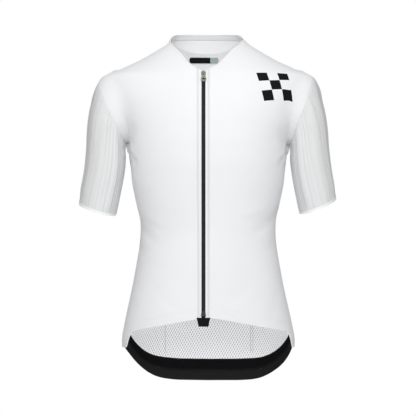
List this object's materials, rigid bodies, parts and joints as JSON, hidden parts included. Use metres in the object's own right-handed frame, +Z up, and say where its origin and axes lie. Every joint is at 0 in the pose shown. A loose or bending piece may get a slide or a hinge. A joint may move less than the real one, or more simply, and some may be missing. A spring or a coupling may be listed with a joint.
{
  "type": "cycling jersey",
  "caption": "Short-sleeved full-zip cycling jersey in worn form: hollow body, ribbed sleeves, low collar, dropped tail with elastic hem and back pockets.",
  "frame": {"origin": "between the shoulders, level with the sides of the neck, where the garment rests on its wearer", "axes": "+Z up along the body, -Y towards the front of the wearer, +X towards the wearer's left"},
  "size_m": [0.5277, 0.2378, 0.7288],
  "materials": {
    "front_cloth": "fine white knit, matt",
    "back_mesh": "white open knit",
    "tail_mesh": "black knit mesh",
    "gripper_elastic": "black elastic, matt",
    "sleeve_rib": "white ribbed knit",
    "cuff_band": "white bonded band",
    "collar_cloth": "fine white knit",
    "collar_binding": "pale grey binding",
    "pocket_cloth": "fine white knit",
    "pocket_elastic": "white elastic binding",
    "zip_tape": "black woven tape",
    "zip_coil": "black nylon coil",
    "zip_metal": "dull olive-grey metal",
    "zip_stop": "black moulded stop",
    "label_cloth": "black woven label with a pale green end, bare"
  },
  "bodies": {
    "garment": {"front_right": "front_cloth", "front_left": "front_cloth", "back": "back_mesh", "tail_band": "tail_mesh", "hem_gripper": "gripper_elastic", "sleeve_right": "sleeve_rib", "sleeve_left": "sleeve_rib", "cuff_right": "cuff_band", "cuff_left": "cuff_band", "collar": "collar_cloth", "collar_binding": "collar_binding", "pocket_panel": "pocket_cloth", "pocket_binding": "pocket_elastic", "zip_tape_right": "zip_tape", "zip_tape_left": "zip_tape", "zip_chain": "zip_coil", "zip_slider": "zip_metal", "zip_foot": "zip_stop", "zip_hem_tab": "zip_tape", "neck_label": "label_cloth"},
    "pull_tab": {"zip_pull": "zip_metal"}
  },
  "joints": [
    {"name": "pull_hinge", "type": "hinge", "parent": "garment", "child": "pull_tab", "pos_m": [-0.009, -0.0822, -0.0645], "axis": [-1, 0, 0], "range_deg": [0, 150]}
  ]
}
